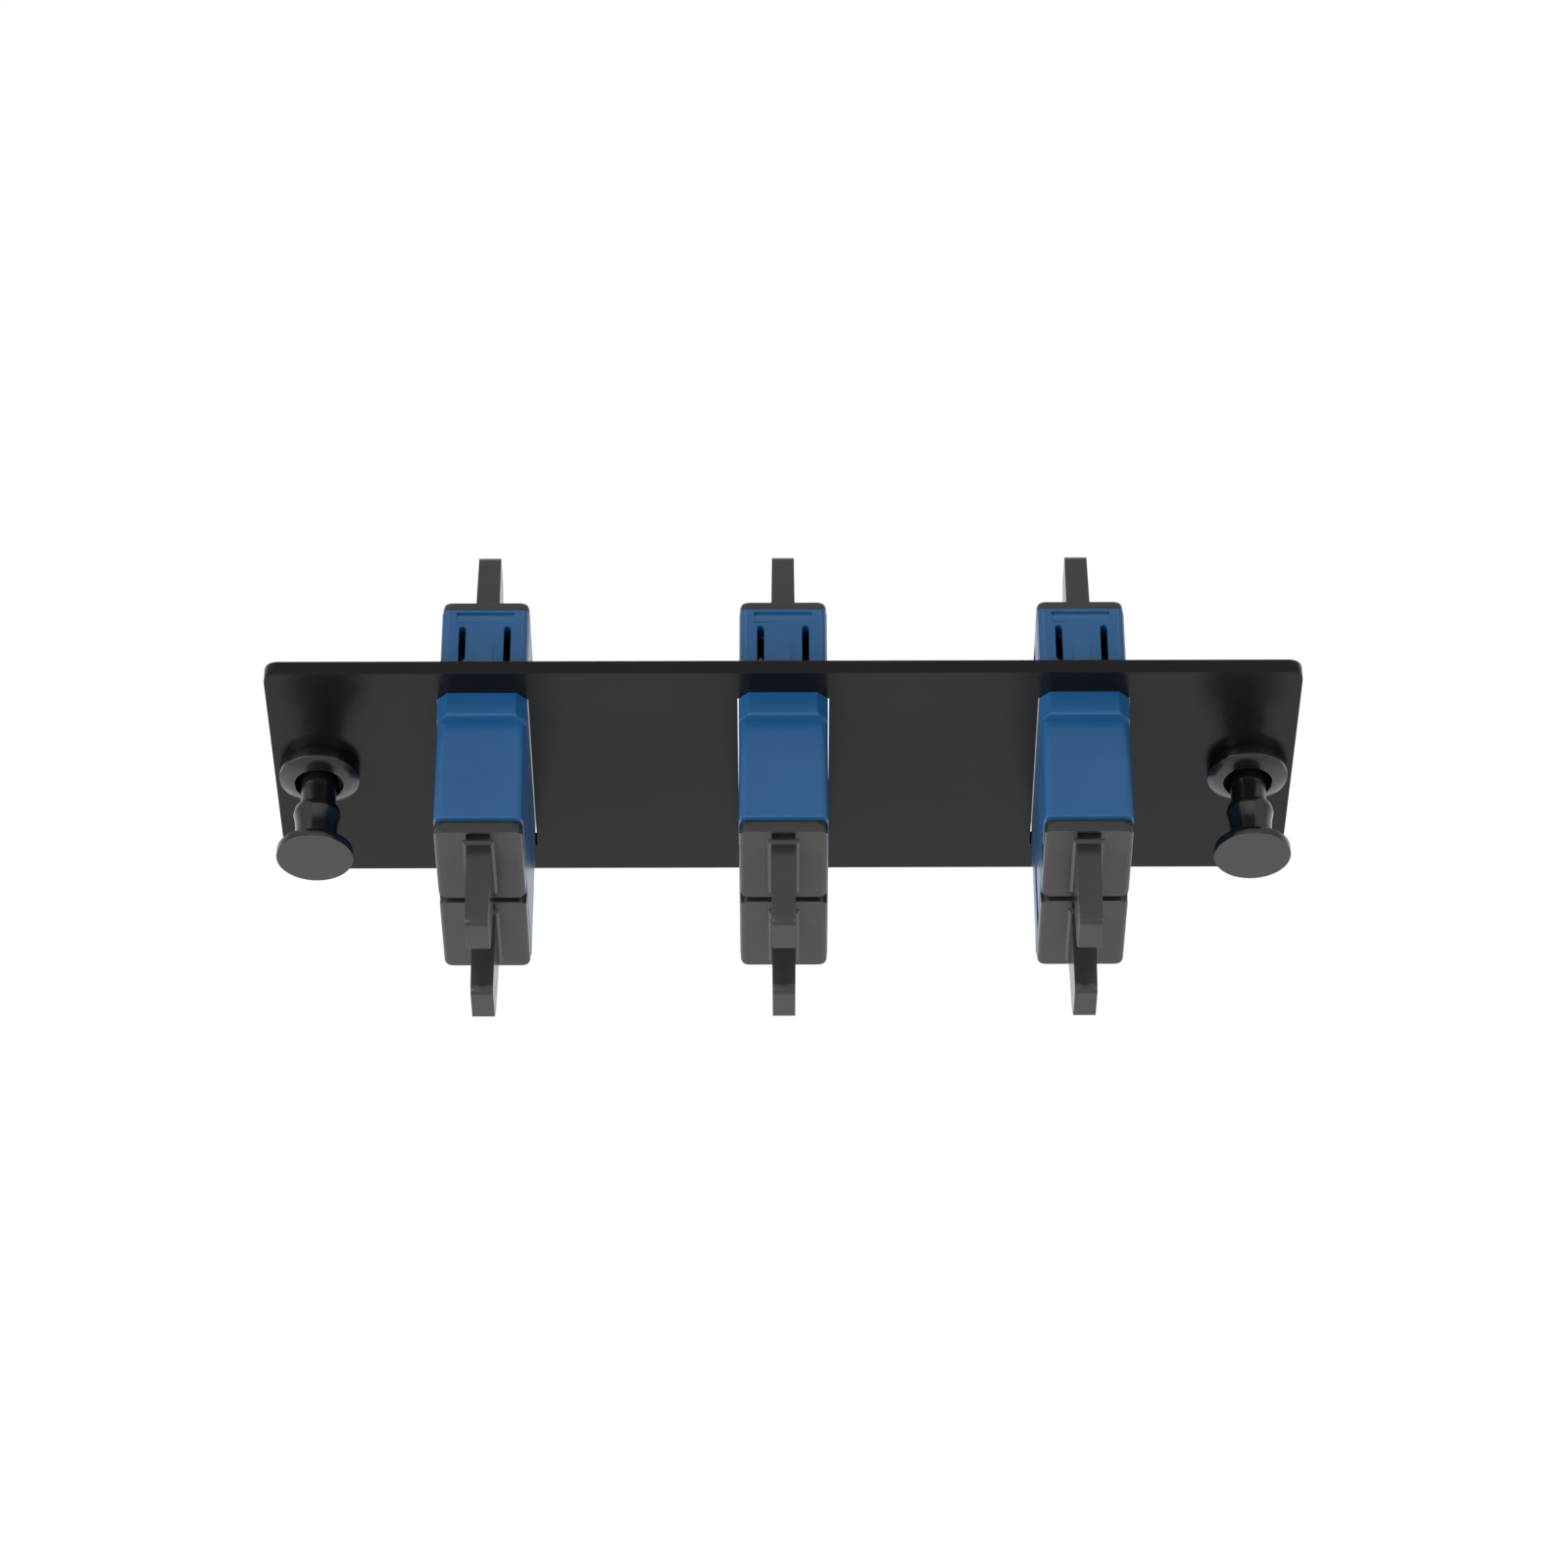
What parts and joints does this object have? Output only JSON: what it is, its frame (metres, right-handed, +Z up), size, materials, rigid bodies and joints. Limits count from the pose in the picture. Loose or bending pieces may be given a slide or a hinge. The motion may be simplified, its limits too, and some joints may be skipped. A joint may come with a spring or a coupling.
{
  "type": "fibre adapter panel",
  "caption": "Flat black snap-in panel with upright blue duplex square-plug fibre adapters, finned dust caps front and rear, and a push-pull latch near each end.",
  "frame": {"origin": "centre of the sheet's rear face, which seats on the enclosure", "axes": "+X along the sheet, +Y to the rear of the panel, +Z up"},
  "size_m": [0.1114, 0.0498, 0.0354],
  "materials": {
    "sheet": "fine satin black powder coat",
    "adapter_housing": "satin moulded blue",
    "holder": "natural ivory moulding",
    "sleeve": "ground white ceramic",
    "dust_cap": "soft black moulding",
    "latch": "satin black moulding"
  },
  "bodies": {
    "panel": {"panel_plate": "sheet", "housing_front_left": "adapter_housing", "housing_front_middle": "adapter_housing", "housing_front_right": "adapter_housing", "housing_rear_left": "adapter_housing", "housing_rear_middle": "adapter_housing", "housing_rear_right": "adapter_housing", "holder_front_left_lower": "holder", "holder_front_left_upper": "holder", "holder_front_middle_lower": "holder", "holder_front_middle_upper": "holder", "holder_front_right_lower": "holder", "holder_front_right_upper": "holder", "holder_rear_left_lower": "holder", "holder_rear_left_upper": "holder", "holder_rear_middle_lower": "holder", "holder_rear_middle_upper": "holder", "holder_rear_right_lower": "holder", "holder_rear_right_upper": "holder", "sleeve_left_lower": "sleeve", "sleeve_left_upper": "sleeve", "sleeve_middle_lower": "sleeve", "sleeve_middle_upper": "sleeve", "sleeve_right_lower": "sleeve", "sleeve_right_upper": "sleeve", "grommet_left": "latch", "grommet_right": "latch"},
    "cap_front_left_lower": {"cap_front_left_lower": "dust_cap"},
    "cap_front_left_upper": {"cap_front_left_upper": "dust_cap"},
    "cap_front_middle_lower": {"cap_front_middle_lower": "dust_cap"},
    "cap_front_middle_upper": {"cap_front_middle_upper": "dust_cap"},
    "cap_front_right_lower": {"cap_front_right_lower": "dust_cap"},
    "cap_front_right_upper": {"cap_front_right_upper": "dust_cap"},
    "cap_rear_left_lower": {"cap_rear_left_lower": "dust_cap"},
    "cap_rear_left_upper": {"cap_rear_left_upper": "dust_cap"},
    "cap_rear_middle_lower": {"cap_rear_middle_lower": "dust_cap"},
    "cap_rear_middle_upper": {"cap_rear_middle_upper": "dust_cap"},
    "cap_rear_right_lower": {"cap_rear_right_lower": "dust_cap"},
    "cap_rear_right_upper": {"cap_rear_right_upper": "dust_cap"},
    "plunger_left": {"plunger_left": "latch"},
    "plunger_right": {"plunger_right": "latch"}
  },
  "joints": [
    {"name": "cap_front_left_lower_pull", "type": "slide", "parent": "panel", "child": "cap_front_left_lower", "axis": [0, -1, 0], "range_m": [0, 0.014]},
    {"name": "cap_front_left_upper_pull", "type": "slide", "parent": "panel", "child": "cap_front_left_upper", "axis": [0, -1, 0], "range_m": [0, 0.014]},
    {"name": "cap_front_middle_lower_pull", "type": "slide", "parent": "panel", "child": "cap_front_middle_lower", "axis": [0, -1, 0], "range_m": [0, 0.014]},
    {"name": "cap_front_middle_upper_pull", "type": "slide", "parent": "panel", "child": "cap_front_middle_upper", "axis": [0, -1, 0], "range_m": [0, 0.014]},
    {"name": "cap_front_right_lower_pull", "type": "slide", "parent": "panel", "child": "cap_front_right_lower", "axis": [0, -1, 0], "range_m": [0, 0.014]},
    {"name": "cap_front_right_upper_pull", "type": "slide", "parent": "panel", "child": "cap_front_right_upper", "axis": [0, -1, 0], "range_m": [0, 0.014]},
    {"name": "cap_rear_left_lower_pull", "type": "slide", "parent": "panel", "child": "cap_rear_left_lower", "axis": [0, 1, 0], "range_m": [0, 0.014]},
    {"name": "cap_rear_left_upper_pull", "type": "slide", "parent": "panel", "child": "cap_rear_left_upper", "axis": [0, 1, 0], "range_m": [0, 0.014]},
    {"name": "cap_rear_middle_lower_pull", "type": "slide", "parent": "panel", "child": "cap_rear_middle_lower", "axis": [0, 1, 0], "range_m": [0, 0.014]},
    {"name": "cap_rear_middle_upper_pull", "type": "slide", "parent": "panel", "child": "cap_rear_middle_upper", "axis": [0, 1, 0], "range_m": [0, 0.014]},
    {"name": "cap_rear_right_lower_pull", "type": "slide", "parent": "panel", "child": "cap_rear_right_lower", "axis": [0, 1, 0], "range_m": [0, 0.014]},
    {"name": "cap_rear_right_upper_pull", "type": "slide", "parent": "panel", "child": "cap_rear_right_upper", "axis": [0, 1, 0], "range_m": [0, 0.014]},
    {"name": "plunger_left_push", "type": "slide", "parent": "panel", "child": "plunger_left", "axis": [0, 1, 0], "range_m": [0, 0.0053]},
    {"name": "plunger_right_push", "type": "slide", "parent": "panel", "child": "plunger_right", "axis": [0, 1, 0], "range_m": [0, 0.0053]}
  ]
}
